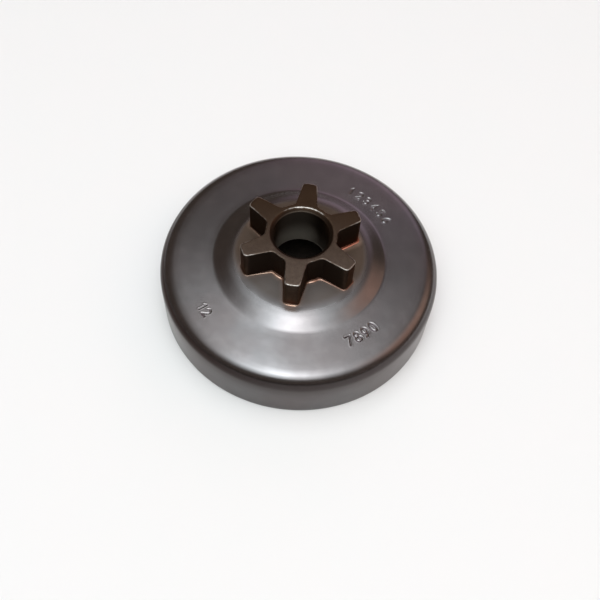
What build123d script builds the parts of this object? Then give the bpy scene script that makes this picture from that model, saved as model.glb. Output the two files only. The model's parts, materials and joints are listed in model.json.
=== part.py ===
from build123d import *
import os
from math import radians, tan

# Clutch drum of a small chainsaw: a pressed steel cup whose web carries a six-tooth spur sprocket.
# The sprocket stands on a raised boss, its spigot passes through the web, and copper braze fills
# the joint. The drum rests on its open rim. The origin is the centre of the rim's face, +Z runs
# along the crankshaft towards the sprocket, and one tooth points along -Y. Sizes are millimetres.

# Pressed cup
drum_diameter = 67.0
drum_height = 14.3
sheet_thickness = 2.0
corner_bend_radius = 1.8
rim_chamfer = 0.4

# Raised boss in the web; each bend radius is the one on the inner side of its bend
boss_rise = 1.8
boss_top_diameter = 33.6
boss_flank_run = 3.7
boss_shoulder_bend_radius = 4.0
boss_foot_bend_radius = 2.0

# Spur sprocket; the root wall is the metal left between the bore and the tooth spaces
tooth_count = 6
tooth_height = 8.1
tip_diameter = 29.0
root_wall = 1.8
tooth_tip_width = 3.4
tooth_flank_angle = 7.5
tip_corner_radius = 0.9
root_fillet_radius = 1.5
tooth_edge_radius = 0.25

# Needle bearing's bore, and the spigot that carries it on through the web
bore_diameter = 13.0
bore_mouth_chamfer = 0.8
bore_end_chamfer = 0.3
spigot_wall = 1.3
spigot_stand_out = 1.9

# Copper braze: the capillary gap that it fills, and the hollow bead that it leaves at each end
braze_gap = 0.1
bead_leg = 0.6

# Sizes that follow from those above
drum_radius = drum_diameter / 2
boss_top_radius = boss_top_diameter / 2
boss_foot_radius = boss_top_radius + boss_flank_run
plateau_height = drum_height + boss_rise
web_underside_height = plateau_height - sheet_thickness
tooth_foot_height = plateau_height + braze_gap
tip_radius = tip_diameter / 2
root_radius = bore_diameter / 2 + root_wall
tooth_axis_width = tooth_tip_width + tip_diameter * tan(radians(tooth_flank_angle))
spigot_radius = bore_diameter / 2 + spigot_wall
spigot_length = braze_gap + sheet_thickness + spigot_stand_out
web_hole_radius = spigot_radius + braze_gap
bead_throat = bead_leg / 3

# Pressed cup: the outer line of its section, thickened inwards by the sheet and turned round the axis
with BuildPart() as drum_cup:
    with BuildSketch(Plane.XZ):
        with BuildLine():
            FilletPolyline(
                (drum_radius, 0),
                (drum_radius, drum_height),
                (boss_foot_radius, drum_height),
                (boss_top_radius, plateau_height),
                (web_hole_radius, plateau_height),
                radius=[
                    corner_bend_radius + sheet_thickness,
                    boss_foot_bend_radius,
                    boss_shoulder_bend_radius + sheet_thickness,
                ],
            )
            offset(amount=sheet_thickness, side=Side.LEFT)
        make_face()
    revolve(axis=Axis.Z)
    chamfer(drum_cup.faces().sort_by(Axis.Z)[0].edges(), length=rim_chamfer)

# Outline of the teeth: a root disc and tapered teeth, trimmed to the tip circle, with rounded corners
with BuildSketch(Plane.XY.offset(plateau_height)) as tooth_outline:
    Circle(root_radius)
    with PolarLocations(0, tooth_count, start_angle=-90):
        Polygon(
            (0, tooth_axis_width / 2),
            (0, -tooth_axis_width / 2),
            (tip_radius, -tooth_tip_width / 2),
            (tip_radius, tooth_tip_width / 2),
            align=None,
        )
    Circle(tip_radius, mode=Mode.INTERSECT)
    fillet(tooth_outline.vertices().group_by(SortBy.DISTANCE)[-1], radius=tip_corner_radius)
    fillet(tooth_outline.vertices().group_by(SortBy.DISTANCE)[0], radius=root_fillet_radius)

# Spur sprocket: the teeth, the spigot below them, and the bearing's bore through both
with BuildPart() as chain_sprocket:
    with BuildSketch(Plane.XY.offset(tooth_foot_height)):
        add(tooth_outline.sketch_local)
    extrude(amount=tooth_height)
    fillet(chain_sprocket.faces().sort_by(Axis.Z)[-1].edges(), radius=tooth_edge_radius)
    with BuildSketch(Plane.XY.offset(tooth_foot_height)):
        Circle(spigot_radius)
    extrude(amount=-spigot_length)
    Hole(bore_diameter / 2)
    chamfer(chain_sprocket.faces().sort_by(Axis.Z)[-1].inner_wires()[0].edges(), length=bore_mouth_chamfer)
    chamfer(chain_sprocket.faces().sort_by(Axis.Z)[0].inner_wires()[0].edges(), length=bore_end_chamfer)

# Copper braze: a film under the teeth, a sleeve round the spigot, and a bead at each end of the joint
foot_line = tooth_outline.sketch.wire()
with BuildPart() as copper_braze:
    extrude(tooth_outline.sketch, amount=braze_gap)
    with BuildSketch(Plane.XY.offset(web_underside_height)):
        Circle(web_hole_radius)
    extrude(amount=sheet_thickness)
    with BuildSketch(Plane.XZ):
        with BuildLine():
            Polyline(
                (spigot_radius + bead_leg, web_underside_height),
                (spigot_radius, web_underside_height),
                (spigot_radius, web_underside_height - bead_leg),
            )
            ThreePointArc(
                (spigot_radius, web_underside_height - bead_leg),
                (spigot_radius + bead_throat, web_underside_height - bead_throat),
                (spigot_radius + bead_leg, web_underside_height),
            )
        make_face()
    revolve(axis=Axis.Z)
    Hole(spigot_radius)
    with BuildSketch(Plane(foot_line @ 0, x_dir=(0, 0, 1), z_dir=foot_line % 0)):
        with BuildLine():
            Polyline((0, bead_leg), (0, 0), (bead_leg, 0))
            ThreePointArc((bead_leg, 0), (bead_throat, bead_throat), (0, bead_leg))
        make_face()
    sweep(path=foot_line)

# Each piece is written to its own file
drum_cup.part.label = "drum_cup"
chain_sprocket.part.label = "chain_sprocket"
copper_braze.part.label = "copper_braze"
os.makedirs("parts", exist_ok=True)
export_step(drum_cup.part, "parts/drum_cup.step")
export_step(chain_sprocket.part, "parts/chain_sprocket.step")
export_step(copper_braze.part, "parts/copper_braze.step")
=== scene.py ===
# %% [markdown]
# # A chainsaw clutch drum and its finishes
# The drum is a pressed steel cup that lies on its open rim. A spur sprocket stands on the raised
# boss of its web, and copper braze holds the two together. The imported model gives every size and
# place. This lesson rebuilds each piece as a smooth surface worked out with numpy, so that its bends,
# its punched numbers and the uneven copper are real shapes, and then gives each surface its finish.

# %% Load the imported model
import json
import math

import bpy
import numpy as np
from mathutils import Matrix, Vector


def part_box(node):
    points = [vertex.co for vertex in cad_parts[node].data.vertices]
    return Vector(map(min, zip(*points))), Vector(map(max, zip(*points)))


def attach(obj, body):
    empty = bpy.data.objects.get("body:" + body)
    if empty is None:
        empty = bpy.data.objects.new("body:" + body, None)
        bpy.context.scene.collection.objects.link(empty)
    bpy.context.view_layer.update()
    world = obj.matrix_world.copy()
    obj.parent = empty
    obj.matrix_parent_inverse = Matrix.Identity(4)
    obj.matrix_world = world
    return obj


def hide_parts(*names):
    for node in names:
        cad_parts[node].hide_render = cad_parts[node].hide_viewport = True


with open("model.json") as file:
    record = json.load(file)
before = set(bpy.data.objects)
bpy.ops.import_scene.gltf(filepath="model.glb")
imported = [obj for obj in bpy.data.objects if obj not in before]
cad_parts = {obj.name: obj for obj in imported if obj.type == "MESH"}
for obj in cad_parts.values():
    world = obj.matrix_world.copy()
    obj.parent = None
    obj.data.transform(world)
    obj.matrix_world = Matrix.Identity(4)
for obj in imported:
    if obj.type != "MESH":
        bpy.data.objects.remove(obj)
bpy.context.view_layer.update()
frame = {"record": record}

MM = 0.001

# %% [markdown]
# ## Sizes
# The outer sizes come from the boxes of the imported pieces, and the two bores from their mounts. A box
# of a faceted model can fall a little short of a round one, so its numbers are taken to the nearest
# tenth of a millimetre, as on the drawing. The bends and the small edge breaks show in no box, so they
# are repeated from the drawing where they are first used.

# %% Read the main sizes
def tenth(length):
    """A length in metres, rounded to the nearest tenth of a millimetre."""
    return round(length / MM, 1) * MM


mounts = {mount["name"]: mount["dims"] for mount in frame["record"]["mounts"]}
drum_radius = tenth(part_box("drum_cup")[1].x)
plateau_height = tenth(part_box("drum_cup")[1].z)
sprocket_top = tenth(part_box("chain_sprocket")[1].z)
spigot_end = tenth(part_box("chain_sprocket")[0].z)
tip_radius = tenth(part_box("chain_sprocket")[1].y)
bead_leg = tenth(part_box("copper_braze")[1].z - plateau_height)
bore_radius = mounts["bearing_bore"]["r_mm"] * MM
wall_radius = mounts["friction_bore"]["r_mm"] * MM
sheet = drum_radius - wall_radius
underside_height = plateau_height - sheet
print(f"drum radius {drum_radius / MM:.1f}, sheet {sheet / MM:.1f}, tooth tips {tip_radius / MM:.1f} mm")

# %% [markdown]
# ## Sections
# Pressed and turned pieces are drawn as a section: a closed line with rounded corners, which is then
# carried round the axis. The first helper rounds the corners. The second one spaces points along the
# line: close together where it turns or where detail is wanted, and far apart on plain straight runs.
# Equal steps would spend most of the mesh on flat metal and leave the bends with too few faces.

# %% Round and space a section
arc_steps = 60
line_samples = 20001


def rounded_section(corners):
    """Closed line through (radius, height, corner radius) rows, its corners arcs that touch both sides.

    An arc starts at corner radius / tan(half the angle) from the corner, its centre lies on the bisector
    at corner radius / sin(half the angle), and its points turn evenly from the first side to the second.
    """
    corners = np.asarray(corners, float)
    corner, arc_radius = corners[:, :2], corners[:, 2:]
    before = np.roll(corner, 1, axis=0) - corner
    after = np.roll(corner, -1, axis=0) - corner
    before /= np.linalg.norm(before, axis=1, keepdims=True)
    after /= np.linalg.norm(after, axis=1, keepdims=True)
    half = 0.5 * np.arccos((before * after).sum(axis=1, keepdims=True))
    bisector = (before + after) / np.linalg.norm(before + after, axis=1, keepdims=True)
    centre = corner + bisector * arc_radius / np.sin(half)
    start = corner + before * arc_radius / np.tan(half) - centre
    end = corner + after * arc_radius / np.tan(half) - centre
    turn = np.pi - 2 * half[:, None]
    share = np.linspace(0, 1, arc_steps)[None, :, None]
    arc = np.sin((1 - share) * turn) * start[:, None] + np.sin(share * turn) * end[:, None]
    return (centre[:, None] + arc / np.sin(turn)).reshape(-1, 2)


def spaced_points(line, run, turn, detail=None):
    """Points along a closed line, as dense as one per run of length, one per turn and what detail adds.

    The density is added up along the line, and points are set where the sum passes equal steps.
    """
    closed = np.vstack([line, line[:1]])
    length = np.concatenate([[0], np.cumsum(np.linalg.norm(np.diff(closed, axis=0), axis=1))])
    fine = np.linspace(0, length[-1], line_samples)
    points = np.stack([np.interp(fine, length, closed[:, axis]) for axis in (0, 1)], axis=1)
    step = np.diff(points, axis=0)
    after = np.roll(step, -1, axis=0)
    turning = np.arctan2(step[:, 0] * after[:, 1] - step[:, 1] * after[:, 0], (step * after).sum(axis=1))
    density = fine[1] / run + np.abs(turning) / turn
    if detail is not None:
        density = density + detail(points[:-1]) * fine[1]
    total = np.concatenate([[0], np.cumsum(density)])
    count = int(total[-1])
    place = np.interp(np.arange(count) * total[-1] / count, total, fine)
    return np.stack([np.interp(place, length, closed[:, axis]) for axis in (0, 1)], axis=1)


# %% [markdown]
# ## From a grid to a piece
# A section carried round a closed path gives a grid of points that closes on itself both ways, as a
# tyre does, so there are no seams or poles to mend. One helper turns such a grid into a mesh. It also
# keeps masks, one value for each point, such as where the skin is rubbed away. The finishes read these
# as named attributes, which stay in place on the surface from whatever side it is seen.

# %% Make a ring piece
sharp_angle = math.radians(28)


def ring_piece(name, grid, masks):
    """A closed piece from a grid of rows, columns and xyz: each quad joins neighbours in both directions.

    The volume is the sum of the tetrahedra between the origin and each triangle. Where it comes out
    negative the skin faces inwards, and the quads are turned over. An edge that turns by more than the
    sharp angle stays crisp.
    """
    rows, columns = grid.shape[:2]
    here = np.arange(rows * columns).reshape(rows, columns)
    beside = np.roll(here, -1, axis=1)
    above, above_beside = np.roll(here, -1, axis=0), np.roll(beside, -1, axis=0)
    quads = np.stack([here, beside, above_beside, above], axis=-1).reshape(-1, 4)
    corner = grid.reshape(-1, 3)[quads]
    facing = np.cross(corner[:, 1], corner[:, 2]) + np.cross(corner[:, 2], corner[:, 3])
    volume = (corner[:, 0] * facing).sum() / 6
    if volume < 0:
        quads = quads[:, ::-1]
    mesh = bpy.data.meshes.new(name)
    mesh.vertices.add(rows * columns)
    mesh.vertices.foreach_set("co", grid.astype(np.float32).ravel())
    mesh.loops.add(quads.size)
    mesh.loops.foreach_set("vertex_index", quads.astype(np.int32).ravel())
    mesh.polygons.add(len(quads))
    mesh.polygons.foreach_set("loop_start", np.arange(0, quads.size, 4, dtype=np.int32))
    mesh.polygons.foreach_set("use_smooth", np.ones(len(quads), bool))
    mesh.update(calc_edges=True)
    mesh.set_sharp_from_angle(angle=sharp_angle)
    for mask, values in masks.items():
        layer = mesh.attributes.new(mask, "FLOAT", "POINT")
        layer.data.foreach_set("value", np.broadcast_to(values, (rows, columns)).astype(np.float32).ravel())
    piece = bpy.data.objects.new(name, mesh)
    bpy.context.scene.collection.objects.link(piece)
    print(f"{name}: {2 * len(quads)} triangles, {abs(volume) / MM**3:.0f} mm3")
    return piece


def ramp(value, low, high):
    """0 below low, 1 above high, and an S-shaped cubic between."""
    share = np.clip((value - low) / (high - low), 0, 1)
    return share * share * (3 - 2 * share)


# %% [markdown]
# ## The section of the drum
# A press draws the cup from a round sheet and raises the boss in its web, so the sheet is equally thick
# all round and each bend has an inner and an outer radius. The inner corners of the boss follow from
# the outer ones: a line moved inwards by the sheet meets its neighbour at sheet x tan(half the bend).

# %% Draw the drum's section
boss_rise = 1.8 * MM
boss_top_radius = 16.8 * MM
boss_flank_run = 3.7 * MM
corner_bend = 1.8 * MM
shoulder_bend = 4.0 * MM
foot_bend = 2.0 * MM
rim_chamfer = 0.4 * MM
edge_break = 0.15 * MM
hole_break = 0.05 * MM
braze_gap = 0.1 * MM
spigot_wall = 1.3 * MM
spigot_radius = bore_radius + spigot_wall
hole_radius = spigot_radius + braze_gap
flat_height = plateau_height - boss_rise
boss_foot_radius = boss_top_radius + boss_flank_run
inset = sheet * math.tan(math.atan2(boss_rise, boss_flank_run) / 2)

drum_section = rounded_section([
    (drum_radius - rim_chamfer, 0, edge_break),
    (drum_radius, rim_chamfer, edge_break),
    (drum_radius, flat_height, corner_bend + sheet),
    (boss_foot_radius, flat_height, foot_bend),
    (boss_top_radius, plateau_height, shoulder_bend + sheet),
    (hole_radius, plateau_height, hole_break),
    (hole_radius, underside_height, hole_break),
    (boss_top_radius - inset, underside_height, shoulder_bend),
    (boss_foot_radius - inset, flat_height - sheet, foot_bend + sheet),
    (wall_radius, flat_height - sheet, corner_bend),
    (wall_radius, rim_chamfer, edge_break),
    (wall_radius + rim_chamfer, 0, edge_break),
])
print(f"section from radius {drum_section[:, 0].min() / MM:.2f} to {drum_section[:, 0].max() / MM:.2f} mm")

# %% [markdown]
# ## Punched numbers
# Numbers were punched into the web with steel stamps before the drum was finished. A bump texture would
# look painted on from the side, so they are real grooves. Each number is a set of strokes in a box 0.6
# wide and 1 high. The distance from a point of the web to the nearest stroke gives the groove's depth
# there, and the small lip that a punch pushes up beside it.

# %% Draw the numbers as strokes
number_width = 0.6
oval_points = 17


def oval(x, y, across, up, start=0, end=360):
    """Points on an oval round (x, y), from one angle in degrees to another."""
    angle = np.radians(np.linspace(start, end, oval_points))
    return np.stack([x + across * np.cos(angle), y + up * np.sin(angle)], axis=1)


six = [oval(0.3, 0.3, 0.27, 0.3), oval(0.58, 0.3, 0.55, 0.7, 100, 180)]
number_strokes = {
    "0": [oval(0.3, 0.5, 0.27, 0.5)],
    "1": [[(0.12, 0.78), (0.34, 1), (0.34, 0)]],
    "2": [np.vstack([oval(0.3, 0.72, 0.27, 0.28, 165, -35), [(0.03, 0), (0.58, 0)]])],
    "3": [oval(0.28, 0.76, 0.25, 0.24, 150, -90), oval(0.28, 0.26, 0.29, 0.26, 90, -150)],
    "4": [[(0.44, 0), (0.44, 1), (0.02, 0.3), (0.6, 0.3)]],
    "5": [np.vstack([[(0.52, 1), (0.12, 1), (0.08, 0.54)], oval(0.28, 0.31, 0.29, 0.31, 125, -150)])],
    "6": six,
    "7": [[(0.02, 1), (0.57, 1), (0.2, 0)]],
    "8": [oval(0.3, 0.76, 0.23, 0.24), oval(0.3, 0.26, 0.28, 0.26)],
    "9": [[number_width, 1] - stroke for stroke in six],
}


def number_row(text, height, pitch):
    """Stroke segments of a row of numbers, as start points and end points, with its middle at x = 0."""
    left = -(len(text) - 1) * pitch / 2 - number_width / 2 * height
    strokes = [
        np.asarray(stroke) * height + (left + place * pitch, 0)
        for place, mark in enumerate(text) for stroke in number_strokes[mark]
    ]
    return np.vstack([stroke[:-1] for stroke in strokes]), np.vstack([stroke[1:] for stroke in strokes])


def stroke_distance(points, starts, ends):
    """Distance from each point to the nearest segment: the foot of its normal, kept between the ends."""
    along = ends - starts
    offset = points[:, None] - starts
    share = np.clip((offset * along).sum(axis=2) / (along * along).sum(axis=1), 0, 1)
    return np.linalg.norm(offset - share[..., None] * along, axis=2).min(axis=1)


print("numbers drawn:", " ".join(number_strokes))

# %% [markdown]
# Three groups of numbers run round the web. A group is given by its middle angle and radius, the height
# of its numbers and the pitch between them. Numbers that read clockwise have their tops outwards, and
# those that read the other way have their tops towards the axis, as in the photograph.

# %% Carry the section round
number_groups = [
    dict(text="123456", angle=51.2, radius=24.2 * MM, height=2.1 * MM, pitch=2.45 * MM, reads=-1),
    dict(text="7890", angle=-47.5, radius=25.0 * MM, height=2.4 * MM, pitch=2.2 * MM, reads=1),
    dict(text="12", angle=-137.0, radius=26.5 * MM, height=2.1 * MM, pitch=1.8 * MM, reads=1),
]
stroke_width = 0.42 * MM
number_band = (22.6 * MM, 28.1 * MM)
number_step = 0.12 * MM
number_turn = math.radians(0.27)
plateau_reach = 15.8 * MM
plateau_step = 0.45 * MM
plain_turn = math.radians(1.7)
fade_turn = math.radians(2)
angle_samples = 14401
flat_margin = 0.001 * MM


def group_span(group):
    """Half the angle that a group of numbers takes up, with a margin of two strokes at each side."""
    width = (len(group["text"]) - 1) * group["pitch"] + number_width * group["height"]
    return (width / 2 + 2 * stroke_width) / group["radius"]


def web_detail(points):
    """Extra points per metre of section: a fine band under the numbers, and the plateau round the braze."""
    radius, height = points.T
    in_band = (radius > number_band[0]) & (radius < number_band[1])
    in_band = in_band & (np.abs(height - flat_height) < flat_margin)
    on_plateau = (radius < plateau_reach) & (np.abs(height - plateau_height) < flat_margin)
    return in_band / number_step + on_plateau / plateau_step


def drum_angles():
    """Angles round the drum: a plain step all round, and a fine one added under the numbers.

    The density is added up round the drum, and angles are set where the sum passes equal steps.
    """
    fine = np.linspace(-np.pi, np.pi, angle_samples)
    density = np.full(fine.size, 1 / plain_turn)
    for group in number_groups:
        away = np.abs(fine - math.radians(group["angle"])) - group_span(group)
        density += (1 - ramp(away, 0, fade_turn)) / number_turn
    total = np.cumsum(density)
    count = int(total[-1] * (fine[1] - fine[0]))
    return np.interp(np.linspace(total[0], total[-1], count, endpoint=False), total, fine)


drum_rows = spaced_points(drum_section, run=2.2 * MM, turn=math.radians(6.2), detail=web_detail)
turns = drum_angles()
print(f"drum: {len(drum_rows)} rows of {len(turns)} points")

# %% [markdown]
# Each point of the web near a group is given a place in its row of numbers: across from the angle, and
# up from the radius. Its distance to the nearest stroke then sets the groove and the lip. The rest of
# the web is not touched.

# %% Press the numbers into the web
groove_depth = 0.09 * MM
lip_height = 0.015 * MM
ring_radius = np.broadcast_to(drum_rows[:, :1], (len(drum_rows), len(turns)))
ring_height = np.broadcast_to(drum_rows[:, 1:], ring_radius.shape).copy()
ring_turn = np.broadcast_to(turns, ring_radius.shape)
on_web = np.abs(ring_height - flat_height) < flat_margin
number_lip = np.zeros(ring_radius.shape)
number_floor = np.zeros(ring_radius.shape)
for group in number_groups:
    angle = ring_turn - math.radians(group["angle"])
    outward = ring_radius - group["radius"]
    near = on_web & (np.abs(angle) < group_span(group)) & (np.abs(outward) < group["height"])
    across = group["reads"] * angle[near] * group["radius"]
    up = group["height"] / 2 - group["reads"] * outward[near]
    strokes = number_row(group["text"], group["height"], group["pitch"])
    distance = stroke_distance(np.stack([across, up], axis=1), *strokes)
    number_floor[near] = 1 - ramp(distance, 0.05 * stroke_width, 0.65 * stroke_width)
    number_lip[near] = np.exp(-((distance - 0.72 * stroke_width) / (0.25 * stroke_width)) ** 2)
ring_height += lip_height * number_lip - groove_depth * number_floor
ring_x, ring_y = ring_radius * np.cos(ring_turn), ring_radius * np.sin(ring_turn)
drum_grid = np.stack([ring_x, ring_y, ring_height], axis=-1)
print(f"deepest groove {(flat_height - ring_height[on_web].min()) / MM:.2f} mm")

# %% [markdown]
# ## The outline of the teeth
# One tooth is a tip arc, a rounded corner, a straight flank that widens inwards, a hollow root fillet
# and an arc of the root circle. Every arc touches its neighbours, so the centres of the two small arcs
# follow from two distances each: one to the flank's line and one to the axis. Half a tooth is worked out
# once, mirrored, and turned round the axis.

# %% Work out the teeth
tooth_count = 6
root_wall = 1.8 * MM
root_radius = bore_radius + root_wall
tooth_tip_width = 3.4 * MM
flank_angle = math.radians(7.5)
tip_corner = 0.9 * MM
root_fillet = 1.5 * MM
tooth_arc_steps = 48


def arc_points(centre, radius, start, end):
    """Points on a circle from one angle to another, without the last one."""
    angle = np.linspace(start, end, tooth_arc_steps, endpoint=False)
    return np.stack([centre[0] + radius * np.cos(angle), centre[1] + radius * np.sin(angle)], axis=1)


def tooth_outline():
    """Closed outline of the teeth, seen from above, running anticlockwise.

    A flank is the line where x sin(a) + y cos(a) is constant. The tip corner's centre lies one corner
    radius inside that line and inside the tip circle. The root fillet's centre lies one fillet radius
    outside the line and outside the root circle.
    """
    across = np.array([math.sin(flank_angle), math.cos(flank_angle)])
    along = np.array([math.cos(flank_angle), -math.sin(flank_angle)])
    flank = tooth_tip_width / 2 * math.cos(flank_angle) + tip_radius * math.sin(flank_angle)
    tip_side, root_side = flank - tip_corner, flank + root_fillet
    tip_centre = tip_side * across + math.sqrt((tip_radius - tip_corner) ** 2 - tip_side**2) * along
    root_centre = root_side * across + math.sqrt((root_radius + root_fillet) ** 2 - root_side**2) * along
    tip_turn = math.atan2(tip_centre[1], tip_centre[0])
    root_turn = math.atan2(root_centre[1], root_centre[0])
    flank_turn = math.pi / 2 - flank_angle
    half = np.vstack([
        arc_points((0, 0), tip_radius, 0, tip_turn),
        arc_points(tip_centre, tip_corner, tip_turn, flank_turn),
        arc_points(root_centre, root_fillet, flank_turn - math.pi, root_turn - math.pi),
        arc_points((0, 0), root_radius, root_turn, math.pi / tooth_count),
    ])
    tooth = np.vstack([half[:0:-1] * [1, -1], half])
    turn = 2 * np.pi * np.arange(tooth_count) / tooth_count - np.pi / 2
    spin = np.stack([np.cos(turn), -np.sin(turn), np.sin(turn), np.cos(turn)], axis=1).reshape(-1, 2, 2)
    return np.einsum("kab,nb->kna", spin, tooth).reshape(-1, 2)


teeth = spaced_points(tooth_outline(), run=0.6 * MM, turn=math.radians(10))
ahead = np.roll(teeth, -1, axis=0) - np.roll(teeth, 1, axis=0)
teeth_out = np.stack([ahead[:, 1], -ahead[:, 0]], axis=1) / np.linalg.norm(ahead, axis=1, keepdims=True)
teeth_reach = np.linalg.norm(teeth, axis=1)
teeth_ray = teeth / teeth_reach[:, None]
print(f"tooth outline: {len(teeth)} points, reach {teeth_reach.max() / MM:.2f} mm")

# %% [markdown]
# ## The sprocket
# The sprocket has a section too, through the middle of a tooth: up the tip, over its rounded edge, across
# the top, down the bore and back round the spigot. Where the section is at the tip, the ring that it
# carries follows the outline of the teeth. Inside the spigot's radius the ring is a circle. On the flat
# top in between, the ring lies part of the way from one to the other.

# %% Carry a section round the teeth
edge_round = 0.25 * MM
seat_margin = 0.01 * MM


def tooth_rings(section, swell=1.0):
    """Grid of rings for a section of (radius, height) rows, each between the tooth outline and a circle.

    Near the tip radius, a ring is the outline moved along its normal by what the radius differs from the
    tip's. From there inwards it blends evenly into the circle of the web's hole, and inside that, or
    below the plateau, it is a circle of the section's radius. Swell widens what stands outside the teeth.
    """
    radius, height = section.T[:, :, None]
    outset = np.maximum(radius - tip_radius, -edge_round)
    outset = outset * np.where(outset > 0, swell, 1)
    blend = np.clip((tip_radius - edge_round - radius) / (tip_radius - edge_round - hole_radius), 0, 1)
    below = height < plateau_height - seat_margin
    blend = np.where(below, 1, blend)[..., None]
    circle = np.where(below, radius, np.minimum(radius, hole_radius))[..., None]
    flat = (1 - blend) * (teeth + outset[..., None] * teeth_out) + blend * circle * teeth_ray
    lift = np.where((radius > tip_radius - edge_round) & ~below, swell, 1.0)
    rise = plateau_height + (height - plateau_height) * lift
    return np.concatenate([flat, np.broadcast_to(rise[..., None], flat.shape[:2] + (1,))], axis=-1)


# %% Shape the sprocket
mouth_chamfer = 0.8 * MM
mouth_break = 0.3 * MM
bore_break = 0.2 * MM
end_chamfer = 0.3 * MM
end_break = 0.1 * MM
foot_break = 0.02 * MM
tooth_foot = plateau_height + braze_gap

sprocket_section = rounded_section([
    (tip_radius, tooth_foot, foot_break),
    (tip_radius, sprocket_top, edge_round),
    (bore_radius + mouth_chamfer, sprocket_top, mouth_break),
    (bore_radius, sprocket_top - mouth_chamfer, bore_break),
    (bore_radius, spigot_end + end_chamfer, end_break),
    (bore_radius + end_chamfer, spigot_end, end_break),
    (spigot_radius, spigot_end, end_break),
    (spigot_radius, tooth_foot, foot_break),
])
sprocket_rows = spaced_points(sprocket_section, run=0.8 * MM, turn=math.radians(11))
sprocket_grid = tooth_rings(sprocket_rows)
print(f"sprocket: {len(sprocket_rows)} rows of {len(teeth)} points")

# %% [markdown]
# More copper ran where the two ends of the wire lay, on the right, and some in the front spaces. How much
# is a sum of bell curves round the axis. It is used for the stain on the teeth, for the bead, and for the
# bloom that the copper left on the drum.

# %% Say where the copper ran
copper_runs = ((16, 15, 1.0), (-118, 11, 0.8), (-90, 6, 0.55), (-62, 8, 0.45), (130, 14, 0.3))


def copper_run(angle):
    """How much copper ran at an angle: a sum of bell curves of (middle, width in degrees, amount)."""
    away = [(np.degrees(angle) - middle + 180) % 360 - 180 for middle, _, _ in copper_runs]
    return sum(amount * np.exp(-(off / width) ** 2) for off, (_, width, amount) in zip(away, copper_runs))


run = copper_run(np.arctan2(teeth[:, 1], teeth[:, 0]))
print(f"copper ran from {run.min():.2f} to {run.max():.2f}")

# %% [markdown]
# Masks are worked out in the section, one value for each ring, and some also vary round the outline.
# "bare" is where the skin is rubbed away: the rounded edges, most at the tips, and the edge of the bore's
# mouth, where it paints a glint that is strongest at the back. The bore's mask gives it bare steel with a
# painted sheen, brightest on one side, towards its lower part and at its lower end. Another mask paints
# shade that darkens the skin towards the back. "sooted" is the black furnace skin that stays on the
# flanks, between the teeth and on the mouth's chamfer. "copper" is how far the braze crept up the foot of
# the teeth and down the spigot.

# %% Mark the sprocket's surfaces
def near_corner(rows, radius, height, reach):
    """1 at a corner of a section, falling off with distance as a bell curve of that reach."""
    return np.exp(-((rows[:, 0] - radius) ** 2 + (rows[:, 1] - height) ** 2) / reach**2)[:, None]


# The side of the bore on which a sheen is painted.
lit_side = (-0.34, 0.94)
row_radius, row_height = sprocket_rows.T[:, :, None]
in_bore = row_radius < bore_radius + 0.1 * mouth_chamfer
on_chamfer = ~in_bore & (row_radius < bore_radius + 0.9 * mouth_chamfer) & (row_height > plateau_height)
outside = row_radius > bore_radius + 0.5 * MM
on_side = (row_radius > tip_radius - 0.02 * MM) & (row_height < sprocket_top - 0.5 * edge_round)
off_tip = 1 - ramp(teeth_reach, tip_radius - 1.2 * MM, tip_radius - 0.2 * MM)
tooth_edge = near_corner(sprocket_rows, tip_radius, sprocket_top, 0.26 * MM)
mouth_edge = near_corner(sprocket_rows, bore_radius + mouth_chamfer, sprocket_top, 0.2 * MM)
at_tip = ramp(teeth_reach, tip_radius - 4 * MM, tip_radius - 0.5 * MM)
mouth_glint_back = ramp(teeth_ray[:, 1], 0.5, 1.0)
# Painted sheen in the bore: brighter at its lower end, towards its lower part, and on one side.
end_glint = 1 - ramp(row_height, spigot_end + 0.3 * MM, spigot_end + 1.5 * MM)
lower_bore_sheen = 0.22 + 0.78 * (1 - ramp(row_height, 14 * MM, 20 * MM))
lit_side_sheen = 0.2 + 0.8 * ramp(teeth_ray @ lit_side, 0.5, 1.0)
crept = 1 - ramp(np.abs(row_height - tooth_foot), 0.2 * MM, (2.4 + 2.6 * run) * MM)
sprocket = ring_piece("spur_sprocket", sprocket_grid, {
    # The mouth's edge gets a painted glint, strongest at the back.
    "bare": np.maximum((0.42 + 0.26 * at_tip) * tooth_edge, (0.12 + 0.45 * mouth_glint_back) * mouth_edge),
    "bore_steel_and_sheen": in_bore * np.maximum(lower_bore_sheen * lit_side_sheen, 0.7 * end_glint),
    # Painted shade: the skin grows darker towards the back.
    "painted_back_shade": ramp(sprocket_grid[..., 1], -12 * MM, 10 * MM),
    "sooted": np.maximum(0.6 * on_chamfer, on_side * (0.1 + 0.9 * off_tip)),
    "copper": outside * (0.3 + 0.7 * run) * crept,
})

# %% [markdown]
# ## The copper braze
# Copper wire was melted into the joint in a furnace. It filled the gap under the teeth and round the
# spigot, and left a hollow bead at each end. Molten copper pools where the outline turns inwards, so the
# bead is swollen in the tooth spaces and thin along the tips, with a slow unevenness added.

# %% Shape the braze
bead_hollow = bead_leg / 4
bead_curve = 0.45 * MM
thin = 0.02 * MM

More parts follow.
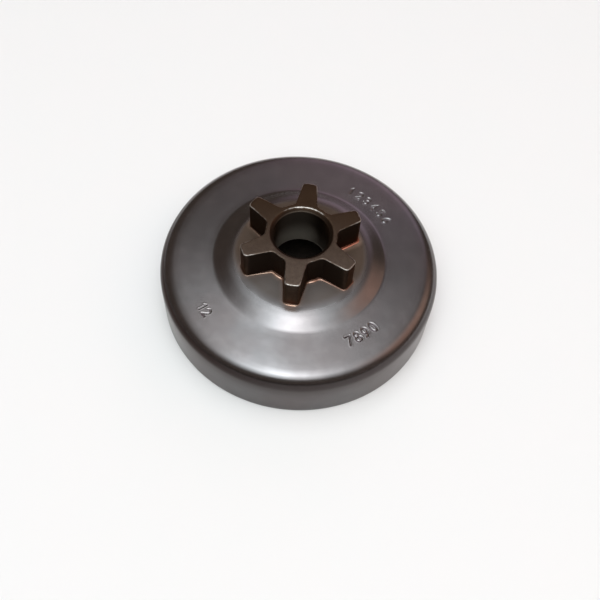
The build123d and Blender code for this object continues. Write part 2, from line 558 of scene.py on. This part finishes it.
braze_section = rounded_section([
    (tip_radius + bead_leg, plateau_height, thin),
    (tip_radius + bead_hollow, plateau_height + bead_hollow, bead_curve),
    (tip_radius, plateau_height + bead_leg, thin),
    (tip_radius, tooth_foot, thin / 2),
    (spigot_radius, tooth_foot, thin / 2),
    (spigot_radius, underside_height - bead_leg, thin),
    (spigot_radius + bead_hollow, underside_height - bead_hollow, bead_curve),
    (spigot_radius + bead_leg, underside_height, thin),
    (hole_radius, underside_height, thin / 2),
    (hole_radius, plateau_height, thin / 2),
])
braze_rows = spaced_points(braze_section, run=0.8 * MM, turn=math.radians(16))
path = np.linspace(0, 2 * np.pi, len(teeth), endpoint=False)
pooled = 1 - ramp(teeth_reach, root_radius, tip_radius - 1.5 * MM)
uneven = 0.12 * np.sin(5 * path + 0.8) + 0.10 * np.sin(11 * path + 2.1) + 0.06 * np.sin(23 * path + 0.3)
swell = np.clip(0.5 + 0.3 * pooled + uneven + 0.4 * run, 0.3, 1.0)
braze = ring_piece("braze_bead", tooth_rings(braze_rows, swell), {
    "dull": np.clip(1.0 - 0.2 * np.sin(7 * path + 1.1) - 1.1 * run, 0, 1),
    "ruddy": ramp(teeth_ray[:, 0], 0.3, 0.9),
})

# %% [markdown]
# The drum comes last of the three shapes, because one of its masks needs the teeth: copper vapour left a
# warm bloom on the plateau close to the braze. The furnace left the plateau a straw brown heat tint, and
# the same mask paints shade: the tint is weaker at the front, so the sides and back are darker. The plateau
# is also "matt" with scale.

# %% Mark the plateau
row_radius, row_height = drum_rows.T[:, :, None]
on_boss = row_height > flat_height
near_teeth = (on_boss & (row_radius < tip_radius + 3.2 * MM))[:, 0]
gap = np.linalg.norm(drum_grid[near_teeth][:, :, None, :2] - teeth, axis=-1).min(axis=-1)
spread = copper_run(turns)
bloom = np.zeros(ring_radius.shape)
bloom[near_teeth] = (0.12 + 0.33 * spread) * (1 - ramp(gap, 0.5 * MM, (1.1 + 0.6 * spread) * MM))
# Heat tint and painted shade: weaker at the front, so the plateau is darker at its sides and back.
at_front = ramp(-np.sin(turns), 0.1, 0.9)
tint_and_shade_edge = (15.6 - 1.4 * at_front) * MM
heat_tint_and_shade = on_boss * (1 - ramp(row_radius, tint_and_shade_edge - 1 * MM, tint_and_shade_edge + 2 * MM))
heat_tint_and_shade = heat_tint_and_shade * (1 - 0.36 * at_front)
matt = on_boss * (1 - ramp(row_radius, 13.4 * MM, 17.0 * MM))
print(f"bloom up to {bloom.max():.2f}, heat tint up to {heat_tint_and_shade.max():.2f}")

# %% [markdown]
# The dark band on the wall and on the lower part of its bend is painted: it stands for a dark reflection,
# is darker towards the top of the wall, stronger on the left, and reaches a little higher on the left. On
# the bend, the outer skin is what lies farther from the bend's centre than the middle of the sheet. The
# other masks are the cut edges of the sheet and the lips of the numbers, the floors of the numbers, and
# the inner wall, which is ground for the clutch shoes.

# %% Mark the wall and the edges
over_bend = np.maximum(row_height - (flat_height - corner_bend - sheet), 0)
past_bend = np.maximum(row_radius - (drum_radius - corner_bend - sheet), 0)
outer_skin = (np.hypot(past_bend, over_bend) > corner_bend + 0.5 * sheet) & (row_radius > boss_foot_radius)
# Painted dark reflection: it reaches higher and is stronger on the left, and fades out above its top.
dark_band_top = (12.5 + 0.5 * np.clip(-np.cos(turns), 0, 1) ** 2) * MM
painted_dark_band = 0.45 + 0.55 * ramp(row_height, 6 * MM, 12 * MM)
painted_dark_band = painted_dark_band * (1 - ramp(row_height, dark_band_top, dark_band_top + 0.6 * MM))
painted_dark_band = painted_dark_band * outer_skin * (1 - 0.3 * np.cos(turns))
outer_edge, inner_edge = (
    near_corner(drum_rows, radius, rim_chamfer / 2, 0.25 * MM)
    for radius in (drum_radius - rim_chamfer / 2, wall_radius + rim_chamfer / 2)
)
ground = (row_radius > wall_radius - 0.4 * MM) & (row_radius < wall_radius + 0.02 * MM)
ground = ground & (row_height < flat_height - sheet)
drum = ring_piece("pressed_drum", drum_grid, {
    "bare": np.maximum(0.5 * (outer_edge + inner_edge), 0.4 * number_lip),
    "sunk": number_floor,
    "copper": bloom,
    "heat_tint_and_shade": heat_tint_and_shade,
    "matt": matt,
    "ground": ground,
    "painted_dark_band": painted_dark_band,
})

# %% [markdown]
# ## Finishes
# A finish is a tree of nodes. One helper adds a node, sets its properties and wires its inputs, so that
# each finish below reads as a list. Effects that more than one metal shows are node groups, built once
# and placed in each finish with its own values.

# %% Helpers for nodes
def add_node(tree, kind, inputs=None, **settings):
    """Adds a node to a tree. An input is given by name or number, as a value or as a node's output."""
    node = tree.nodes.new(kind)
    for name, value in settings.items():
        setattr(node, name, value)
    for name, value in (inputs or {}).items():
        if isinstance(value, bpy.types.NodeSocket):
            tree.links.new(value, node.inputs[name])
        else:
            node.inputs[name].default_value = value
    return node


def mix_colour(tree, factor, first, second, blend_type="MIX"):
    """Colour output of a Mix node: first where the factor is 0, second where it is 1."""
    inputs = {0: factor, 6: first, 7: second}
    return add_node(tree, "ShaderNodeMix", inputs, data_type="RGBA", blend_type=blend_type).outputs[2]


def math_node(tree, operation, *values):
    """Value output of a Math node."""
    return add_node(tree, "ShaderNodeMath", dict(enumerate(values)), operation=operation).outputs[0]


def mapped(tree, value, low, high, start=0.0, end=1.0):
    """A value's range from low to high, taken smoothly to a range from start to end."""
    inputs = {0: value, 1: low, 2: high, 3: start, 4: end}
    return add_node(tree, "ShaderNodeMapRange", inputs, interpolation_type="SMOOTHSTEP").outputs[0]


def noise(tree, spot, scale, detail=3.0):
    """Value output of a Noise node at a place, its scale the number of patches in a metre."""
    inputs = {"Vector": spot, "Scale": scale, "Detail": detail}
    return add_node(tree, "ShaderNodeTexNoise", inputs).outputs["Fac"]


def new_group(name, inputs, outputs):
    """A node group with named sockets: its tree and its two ends. A 4-number default makes a colour."""
    tree = bpy.data.node_groups.new(name, "ShaderNodeTree")
    for sockets, direction in ((inputs, "INPUT"), (outputs, "OUTPUT")):
        for socket, default in sockets.items():
            kind = "NodeSocketColor" if isinstance(default, tuple) else "NodeSocketFloat"
            made = tree.interface.new_socket(socket, in_out=direction, socket_type=kind)
            made.default_value = default
    return tree, tree.nodes.new("NodeGroupInput").outputs, tree.nodes.new("NodeGroupOutput").inputs


def place_group(tree, group, **inputs):
    """Places a node group in a tree, with its inputs given by name, and hands back its outputs."""
    return add_node(tree, "ShaderNodeGroup", inputs, node_tree=group).outputs


BLACK, WHITE = (0, 0, 0, 1), (1, 1, 1, 1)

# %% [markdown]
# ### Clouded skin
# Oxide and oil leave steel faintly clouded, with one tint running into another over several millimetres
# and a finer stain inside it. Two sizes of noise on Object coordinates give that, and stay fixed to the
# metal.

# %% Clouded skin
cloud_group, given, result = new_group(
    "clouded_skin",
    {"Colour": WHITE, "Tint": WHITE, "Size": 100.0, "Stain": 0.2},
    {"Colour": WHITE, "Cloud": 0.0},
)
spot = add_node(cloud_group, "ShaderNodeTexCoord").outputs["Object"]
broad = noise(cloud_group, spot, given["Size"])
small = noise(cloud_group, spot, math_node(cloud_group, "MULTIPLY", given["Size"], 6.5), 4.0)
cloud = mapped(cloud_group, broad, 0.32, 0.68)
tinted = mix_colour(cloud_group, cloud, given["Colour"], given["Tint"])
darker = mapped(cloud_group, small, 0.35, 0.75, 1.0, 0.0)
stain = math_node(cloud_group, "MULTIPLY", darker, given["Stain"])
cloud_group.links.new(mix_colour(cloud_group, stain, tinted, BLACK), result["Colour"])
cloud_group.links.new(cloud, result["Cloud"])
print(f"{cloud_group.name}: {len(cloud_group.nodes)} nodes")

# %% [markdown]
# ### Rubbed edges
# Where a mask says that the skin is cut or rubbed, bright steel shows, but not as a clean band: the wear
# is broken by fine noise, fullest at the middle of the edge and patchy at its sides.

# %% Rubbed edges
rub_group, given, result = new_group(
    "rubbed_edges",
    {"Skin": WHITE, "Metal": WHITE, "Mask": 0.0, "Breakup": 0.5},
    {"Colour": WHITE, "Rubbed": 0.0},
)
spot = add_node(rub_group, "ShaderNodeTexCoord").outputs["Object"]
patches = noise(rub_group, spot, 1400.0)
broken = math_node(rub_group, "MULTIPLY", math_node(rub_group, "SUBTRACT", patches, 0.5), given["Breakup"])
rubbed = mapped(rub_group, math_node(rub_group, "ADD", given["Mask"], broken), 0.25, 0.75)
rubbed = math_node(rub_group, "MULTIPLY", rubbed, mapped(rub_group, given["Mask"], 0.02, 0.12))
rub_group.links.new(mix_colour(rub_group, rubbed, given["Skin"], given["Metal"]), result["Colour"])
rub_group.links.new(rubbed, result["Rubbed"])
print(f"{rub_group.name}: {len(rub_group.nodes)} nodes")

# %% [markdown]
# ### Grain and tool lines
# Tumbled and sintered metal has a fine grain, and turned or ground metal has lines that run one way. The
# grain is noise with no direction. The lines are noise of one number only, such as the height or the
# radius, so they run along everything else. Both put out a height for a Bump node.

# %% Grain and tool lines
grain_group, given, result = new_group(
    "metal_grain", {"Size": 3000.0, "Pores": 0.0}, {"Height": 0.0, "Pore": 0.0}
)
spot = add_node(grain_group, "ShaderNodeTexCoord").outputs["Object"]
grain = noise(grain_group, spot, given["Size"])
pore_size = math_node(grain_group, "MULTIPLY", given["Size"], 0.7)
pore_cell = add_node(grain_group, "ShaderNodeTexVoronoi", {"Vector": spot, "Scale": pore_size})
hole = mapped(grain_group, pore_cell.outputs["Distance"], 0.12, 0.3, 1.0, 0.0)
pore = math_node(grain_group, "MULTIPLY", hole, given["Pores"])
grain_group.links.new(math_node(grain_group, "SUBTRACT", grain, pore), result["Height"])
grain_group.links.new(pore, result["Pore"])

line_group, given, result = new_group("tool_lines", {"Along": 0.0, "Pitch": 0.1 * MM}, {"Height": 0.0})
scaled = math_node(line_group, "DIVIDE", given["Along"], given["Pitch"])
lines = add_node(
    line_group, "ShaderNodeTexNoise", {"W": scaled, "Scale": 1.0, "Detail": 2.0}, noise_dimensions="1D"
)
line_group.links.new(lines.outputs["Fac"], result["Height"])
print(f"{grain_group.name} and {line_group.name}: {len(grain_group.nodes) + len(line_group.nodes)} nodes")

# %% [markdown]
# ### What every metal starts from
# Each metal is a Principled shader with Metallic at 1, and the piece's masks are read by name. Two small
# bumps can be laid over each other: the Bump node of the second takes the normal of the first.

# %% Start a finish
def new_finish(name, roughness):
    """A metal material: its tree, its Principled shader and a reader for the piece's masks."""
    material = bpy.data.materials.new(name)
    material.use_nodes = True
    tree = material.node_tree
    shader = tree.nodes["Principled BSDF"]
    shader.inputs["Metallic"].default_value = 1.0
    shader.inputs["Roughness"].default_value = roughness

    def mask(attribute, share=1.0):
        """A mask of the piece, times a share."""
        value = add_node(tree, "ShaderNodeAttribute", attribute_name=attribute).outputs["Fac"]
        return value if share == 1.0 else math_node(tree, "MULTIPLY", value, share)

    return material, tree, shader, mask


def add_bump(tree, shader, height, distance, strength, before=None):
    """Feeds a height to the shader's normal, on top of an earlier bump where there is one."""
    inputs = {"Height": height, "Distance": distance, "Strength": strength}
    if before is not None:
        inputs["Normal"] = before
    normal = add_node(tree, "ShaderNodeBump", inputs).outputs["Normal"]
    tree.links.new(normal, shader.inputs["Normal"])
    return normal


def radius_and_height(tree):
    """Distance from the axis and height above the rim, from Object coordinates."""
    spot = add_node(tree, "ShaderNodeTexCoord").outputs["Object"]
    split = add_node(tree, "ShaderNodeSeparateXYZ", {0: spot}).outputs
    flat = add_node(tree, "ShaderNodeCombineXYZ", {"X": split["X"], "Y": split["Y"]}).outputs[0]
    radius = add_node(tree, "ShaderNodeVectorMath", {0: flat}, operation="LENGTH").outputs["Value"]
    return radius, split["Z"]


# %% [markdown]
# ### The drum's satin steel
# Tumbling and blueing gave the drum a dark satin skin, faintly clouded between grey and violet brown. A
# painted dark band on the wall and the lower bend stands for a dark reflection there, and the inner side
# is ground bright for the shoes. The plateau has a straw brown heat tint, with painted shade that leaves
# its sides and back darker than its front, and is dull with scale. Scale is only partly metal, so the mask
# that raises Roughness there also lowers Metallic. A last polish on the lathe left faint rings.

# %% Finish the drum
bright_steel = (0.56, 0.54, 0.51, 1)
ground_steel = (0.42, 0.40, 0.38, 1)
dark_band_black = (0.022, 0.012, 0.010, 1)
straw_brown = (0.069, 0.046, 0.031, 1)
copper_brown = (0.36, 0.24, 0.18, 1)
drum_steel, tree, shader, mask = new_finish("satin_drum_steel", 0.25)
shader.inputs["Specular Tint"].default_value = (0.85, 0.83, 0.82, 1)
skin = place_group(
    tree, cloud_group, Colour=(0.204, 0.205, 0.210, 1), Tint=(0.194, 0.180, 0.181, 1), Size=52.0, Stain=0.1
)
# Painted dark reflection on the wall and the lower bend.
darkened = mix_colour(tree, mask("painted_dark_band", 0.8), skin["Colour"], dark_band_black)
# Straw heat tint, with painted shade on the sides and back of the plateau.
straw = mix_colour(tree, mask("heat_tint_and_shade"), darkened, straw_brown)
worked = mix_colour(tree, mask("ground"), straw, ground_steel)
bloomed = mix_colour(tree, mask("copper"), worked, copper_brown)
edges = place_group(tree, rub_group, Skin=bloomed, Metal=bright_steel, Mask=mask("bare"), Breakup=0.5)
tree.links.new(mix_colour(tree, mask("sunk", 0.15), edges["Colour"], BLACK), shader.inputs["Base Color"])
roughness = mapped(tree, skin["Cloud"], 0.0, 1.0, 0.21, 0.25)
roughness = mapped(tree, mask("matt"), 0.0, 1.0, roughness, 0.62)
tree.links.new(mapped(tree, edges["Rubbed"], 0.0, 1.0, roughness, 0.3), shader.inputs["Roughness"])
tree.links.new(mapped(tree, mask("matt"), 0.0, 1.0, 1.0, 0.35), shader.inputs["Metallic"])
around, above = radius_and_height(tree)
grain = place_group(tree, grain_group, Size=2600.0)
rings = place_group(tree, line_group, Along=math_node(tree, "ADD", around, above), Pitch=0.35 * MM)
first = add_bump(tree, shader, grain["Height"], 0.02 * MM, 0.25)
add_bump(tree, shader, rings["Height"], 0.02 * MM, 0.12, first)
drum.data.materials.append(drum_steel)
print(f"{drum_steel.name}: {len(tree.nodes)} nodes")

# %% [markdown]
# ### The sprocket's sintered steel
# The sprocket was pressed from steel powder and sintered, which leaves a dull brown skin with fine pores,
# here with painted shade that darkens it towards the back. Copper soaked a little way up the teeth, soot
# stays on their flanks and on the chamfer, the bore is bare steel with a painted sheen on one side and at
# its lower end, and the edges are rubbed bright. The colours are laid over one another in that order, each
# through its mask.

# %% Finish the sprocket
back_shade_brown = (0.050, 0.031, 0.019, 1)
pore_black = (0.02, 0.014, 0.01, 1)
soaked_copper = (0.14, 0.035, 0.018, 1)
soot_black = (0.022, 0.017, 0.014, 1)
bore_sheen_steel = (0.54, 0.50, 0.43, 1)
sprocket_steel, tree, shader, mask = new_finish("sintered_sprocket_steel", 0.36)
shader.inputs["Specular Tint"].default_value = (0.85, 0.62, 0.50, 1)
skin = place_group(
    tree, cloud_group, Colour=(0.112, 0.084, 0.066, 1), Tint=(0.096, 0.071, 0.055, 1), Size=160.0, Stain=0.2
)
# Painted shade, darker towards the back.
painted_back_shade = mix_colour(tree, mask("painted_back_shade"), skin["Colour"], back_shade_brown)
grain = place_group(tree, grain_group, Size=4200.0, Pores=1.0)
pored = mix_colour(tree, math_node(tree, "MULTIPLY", grain["Pore"], 0.5), painted_back_shade, pore_black)
soak = math_node(tree, "MULTIPLY", mapped(tree, mask("copper"), 0.1, 1.0), 0.8)
soaked = mix_colour(tree, soak, pored, soaked_copper)
sooted = mix_colour(tree, mask("sooted", 0.85), soaked, soot_black)
# Bare steel in the bore, with its painted sheen.
bore_steel_and_sheen = mix_colour(tree, mask("bore_steel_and_sheen"), sooted, bore_sheen_steel)
edges = place_group(tree, rub_group, Skin=bore_steel_and_sheen, Metal=bright_steel, Mask=mask("bare"), Breakup=0.5)
tree.links.new(edges["Colour"], shader.inputs["Base Color"])
roughness = mapped(tree, skin["Cloud"], 0.0, 1.0, 0.34, 0.42)
roughness = mapped(tree, mask("sooted"), 0.0, 1.0, roughness, 0.55)
roughness = mapped(tree, mask("bore_steel_and_sheen"), 0.0, 0.3, roughness, 0.6)
tree.links.new(mapped(tree, edges["Rubbed"], 0.0, 1.0, roughness, 0.3), shader.inputs["Roughness"])
spot = add_node(tree, "ShaderNodeTexCoord").outputs["Object"]
above = add_node(tree, "ShaderNodeSeparateXYZ", {0: spot}).outputs["Z"]
rings = place_group(tree, line_group, Along=above, Pitch=0.12 * MM)
first = add_bump(tree, shader, grain["Height"], 0.04 * MM, 0.3)
add_bump(tree, shader, math_node(tree, "MULTIPLY", rings["Height"], mask("bore_steel_and_sheen")), 0.03 * MM, 0.3, first)
sprocket.data.materials.append(sprocket_steel)
print(f"{sprocket_steel.name}: {len(tree.nodes)} nodes")

# %% [markdown]
# ### The copper
# Furnace copper is pale and bright where it ran last, ruddy on the right, and dulled brown where flux and
# heat stayed on it. The bead is less than a millimetre wide, so three colours mixed by two masks are
# enough.

# %% Finish the braze
ruddy_copper = (0.50, 0.20, 0.14, 1)
dull_copper = (0.13, 0.095, 0.075, 1)
braze_copper, tree, shader, mask = new_finish("furnace_copper", 0.3)
skin = place_group(
    tree, cloud_group, Colour=(0.66, 0.45, 0.35, 1), Tint=(0.56, 0.33, 0.23, 1), Size=420.0, Stain=0.3
)
ruddy = mix_colour(tree, mask("ruddy"), skin["Colour"], ruddy_copper)
dulled = mix_colour(tree, mask("dull", 0.85), ruddy, dull_copper)
tree.links.new(dulled, shader.inputs["Base Color"])
tree.links.new(mapped(tree, skin["Cloud"], 0.0, 1.0, 0.24, 0.4), shader.inputs["Roughness"])
grain = place_group(tree, grain_group, Size=1800.0)
add_bump(tree, shader, grain["Height"], 0.05 * MM, 0.3)
braze.data.materials.append(braze_copper)
print(f"{braze_copper.name}: {len(tree.nodes)} nodes")

# %% [markdown]
# ## Floor and backdrop
# The drum lies on a plain pale floor that runs far past the picture. A backdrop of the same paper sweeps
# up at its edge, so that a low view sees no end of it. The backdrop is left out of reflections, because
# satin metal would show it as a light line along the bend, where the real drum shows a dark room.

# %% Start the studio
ring_count = 96


def dull_finish(name, roughness, gloss, **cloud):
    """A material with no metal in it: a clouded colour, rough, and with little gloss."""
    material = bpy.data.materials.new(name)
    material.use_nodes = True
    tree = material.node_tree
    shader = tree.nodes["Principled BSDF"]
    shader.inputs["Roughness"].default_value = roughness
    shader.inputs["Specular IOR Level"].default_value = gloss
    clouded = place_group(tree, cloud_group, **cloud)
    tree.links.new(clouded["Colour"], shader.inputs["Base Color"])
    return material


def lay_stage(name, points, faces, material):
    """A mesh that belongs to the studio and not to the object."""
    mesh = bpy.data.meshes.new(name)
    mesh.from_pydata(points.tolist(), [], faces)
    mesh.materials.append(material)
    piece = bpy.data.objects.new(name, mesh)
    bpy.context.scene.collection.objects.link(piece)
    return piece


def level_ring(radius, height):
    """Points round a level circle about the origin."""
    angle = np.linspace(0, 2 * np.pi, ring_count, endpoint=False)
    return np.stack([radius * np.cos(angle), radius * np.sin(angle), np.full(ring_count, height)], axis=1)


disc_face = [list(range(ring_count))]

# %% Lay the floor and its backdrop
floor_radius = 1.5
sweep_height = 0.35
sweep_steps = 12
floor_paper = dull_finish(
    "floor_paper", roughness=0.9, gloss=0.1,
    Colour=(0.84, 0.85, 0.845, 1), Tint=(0.845, 0.85, 0.845, 1), Size=60.0, Stain=0.0,
)
lay_stage("floor", level_ring(floor_radius, 0.0), disc_face, floor_paper)
sweep_points = np.vstack([
    level_ring(floor_radius + sweep_height * math.sin(bend), sweep_height * (1 - math.cos(bend)))
    for bend in np.linspace(0, math.pi / 2, sweep_steps + 1)
])
lower = np.arange(sweep_steps * ring_count).reshape(sweep_steps, ring_count)
lower_next = np.roll(lower, -1, axis=1)
sweep_faces = np.stack([lower, lower + ring_count, lower_next + ring_count, lower_next], axis=-1)
backdrop = lay_stage("backdrop", sweep_points, sweep_faces.reshape(-1, 4).tolist(), floor_paper)
backdrop.visible_glossy = False
print(f"floor: {floor_radius:.1f} m in radius, backdrop {sweep_height:.2f} m high")

# %% [markdown]
# A small dark sheet lies under the drum, where it can be seen only through the bore; it paints shade into
# the bore's far end. Without it the bore would look down on the lit floor, and its far end would be pale
# instead of dark.

# %% Lay the sheet of painted shade
shade_sheet_radius = 0.75 * wall_radius
shade_sheet_thickness = 0.2 * MM
painted_shade_sheet = dull_finish(
    "painted_shade_sheet", roughness=1.0, gloss=0.0,
    Colour=(0.03, 0.024, 0.02, 1), Tint=(0.04, 0.032, 0.027, 1), Size=400.0, Stain=0.3,
)
lay_stage("shade_sheet_under_bore", level_ring(shade_sheet_radius, shade_sheet_thickness), disc_face, painted_shade_sheet)
print(f"felt: {shade_sheet_radius / MM:.1f} mm in radius")

# %% [markdown]
# ## Lamps and room
# Metal shows what stands round it, so the lamps are made for their reflections. A wide panel overhead,
# brightest a little to the front, lights the bends and the front of the web and leaves its rear dark. A
# long tube sharpens the highlight along the middle, a warm panel hangs on the right, and a weak violet one
# at the back. Each panel fades towards its sides, because a plain area lamp would show its hard edge in
# the metal. A dim warm room fills the rest.

# %% Find a place for a lamp
camera_turn = math.radians(5.0)
lamp_distance = 1.2
front = Vector((math.sin(camera_turn), -math.cos(camera_turn), 0))
right = Vector((math.cos(camera_turn), math.sin(camera_turn), 0))
upward = Vector((0, 0, 1))


def lamp_spot(rise, side):
    """A lamp's place: rise is from the front horizon over the top, side to the right, both in degrees."""
    rise, side = math.radians(rise), math.radians(side)
    arch = math.cos(rise) * front + math.sin(rise) * upward
    return lamp_distance * (math.cos(side) * arch + math.sin(side) * right)


# %% Make a soft panel
soft_beside = ((0, 1), (0.5, 0.7), (1, 0))
soft_along = ((0, 0), (0.25, 0.7), (0.5, 1), (0.75, 0.7), (1, 0))


def stepped(tree, value, stops):
    """Grey output of a Color Ramp with a smooth curve through (place, brightness) stops."""
    node = add_node(tree, "ShaderNodeValToRGB", {"Fac": value})
    node.color_ramp.interpolation = "CARDINAL"
    for place, _ in stops[1:-1]:
        node.color_ramp.elements.new(place)
    for element, (place, bright) in zip(node.color_ramp.elements, stops):
        element.position = place
        element.color = (bright, bright, bright, 1)
    return node.outputs["Color"]


def soft_panel(name, place, width, depth, radiance, colour, beside=soft_beside, along=soft_along):
    """A rectangular lamp that faces the origin, its width level. Its power is radiance x pi x area.

    Beside gives its brightness from the middle line out to the sides, and along from its lower edge at the
    front to its far edge, each as (place, brightness) stops.
    """
    lamp = bpy.data.lights.new(name, "AREA")
    lamp.shape = "RECTANGLE"
    lamp.size, lamp.size_y = width, depth
    lamp.energy = radiance * math.pi * width * depth
    lamp.color = colour
    lamp.use_nodes = True
    tree = lamp.node_tree
    panel_place = add_node(tree, "ShaderNodeNewGeometry").outputs["Parametric"]
    split = add_node(tree, "ShaderNodeSeparateXYZ", {0: panel_place}).outputs
    off_middle = math_node(tree, "ABSOLUTE", math_node(tree, "MULTIPLY_ADD", split["X"], 2.0, -1.0))
    glow_beside = stepped(tree, off_middle, beside)
    glow_along = stepped(tree, split["Y"], along)
    glow = mix_colour(tree, 1.0, glow_beside, glow_along, "MULTIPLY")
    tree.links.new(glow, tree.nodes["Emission"].inputs["Strength"])
    panel = bpy.data.objects.new(name, lamp)
    panel.visible_camera = False
    away = place.normalized()
    across = (right - right.dot(away) * away).normalized()
    turned = Matrix((across, away.cross(across), away)).transposed().to_4x4()
    panel.matrix_world = Matrix.Translation(place) @ turned
    bpy.context.scene.collection.objects.link(panel)
    print(f"{name}: {lamp.energy:.2f} W at {[round(x, 2) for x in place]}")


# %% Hang the lamps
cool_white = (0.93, 0.975, 1.0)
warm_orange = (1.0, 0.62, 0.48)
pale_violet = (1.0, 0.80, 1.0)
overhead_beside = (
    (0, 1), (0.094, 0.93), (0.19, 0.78), (0.29, 0.54), (0.44, 0.32), (0.6, 0.18), (0.82, 0.09), (1, 0.03)
)
overhead_along = (
    (0, 0.12), (0.08, 0.4), (0.22, 0.6), (0.31, 0.86), (0.42, 0.9),
    (0.55, 0.6), (0.66, 0.46), (0.78, 0.28), (0.92, 0.14), (1, 0.1),
)
tube_beside = ((0, 1), (0.6, 0.9), (1, 0.2))
tube_along = ((0, 1), (1, 1))
soft_panel("overhead_panel", lamp_spot(80, -3), 2.66, 2.0, 5.6, cool_white, overhead_beside, overhead_along)
soft_panel("long_tube", lamp_spot(89, -2), 0.3, 1.44, 2.5, cool_white, tube_beside, tube_along)
soft_panel("warm_side", lamp_spot(97, 50), 1.1, 1.4, 0.85, warm_orange)
soft_panel("back_strip", lamp_spot(151, 13), 1.05, 1.3, 0.7, pale_violet)

# %% Dim the room
room_colour = (0.155, 0.116, 0.095, 1)
world = bpy.data.worlds.new("dim_room")
bpy.context.scene.world = world
world.use_nodes = True
world.node_tree.nodes["Background"].inputs["Color"].default_value = room_colour
print(f"room: {world.name}, colour {room_colour[:3]}")

# %% [markdown]
# ## Camera
# The camera looks down at the drum from the photograph's height. It is turned a little to the right and
# rolled by four degrees, because the photograph was taken by hand, and its shift sets the drum a little
# above the middle of the picture.

# %% Set the camera
camera_rise = math.radians(58.3)
camera_roll = math.radians(4.1)
camera_distance = 202 * MM

lens = bpy.data.cameras.new("camera")
lens.lens = 47.6
lens.sensor_width = 36
lens.shift_x, lens.shift_y = 0.004, -0.0196
lens.clip_start = 0.01
camera = bpy.data.objects.new("camera", lens)
towards = math.cos(camera_rise) * front + math.sin(camera_rise) * upward
aim = towards.to_track_quat("Z", "Y").to_matrix().to_4x4()
placed = Matrix.Translation(towards * camera_distance)
camera.matrix_world = placed @ aim @ Matrix.Rotation(camera_roll, 4, "Z")
bpy.context.scene.collection.objects.link(camera)
bpy.context.scene.camera = camera
bpy.context.scene.view_settings.view_transform = "Standard"
print("camera at mm:", [round(x / MM, 1) for x in camera.matrix_world.translation])

# %% [markdown]
# ## Hand the pieces to the frame
# Each surface stands for its imported piece and moves with the one rigid body.

# %% Replace the imported pieces
for piece, node, slot in (
    (drum, "drum_cup", "drum_steel"),
    (sprocket, "chain_sprocket", "sprocket_steel"),
    (braze, "copper_braze", "braze_copper"),
):
    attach(piece, "root")
    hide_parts(node)
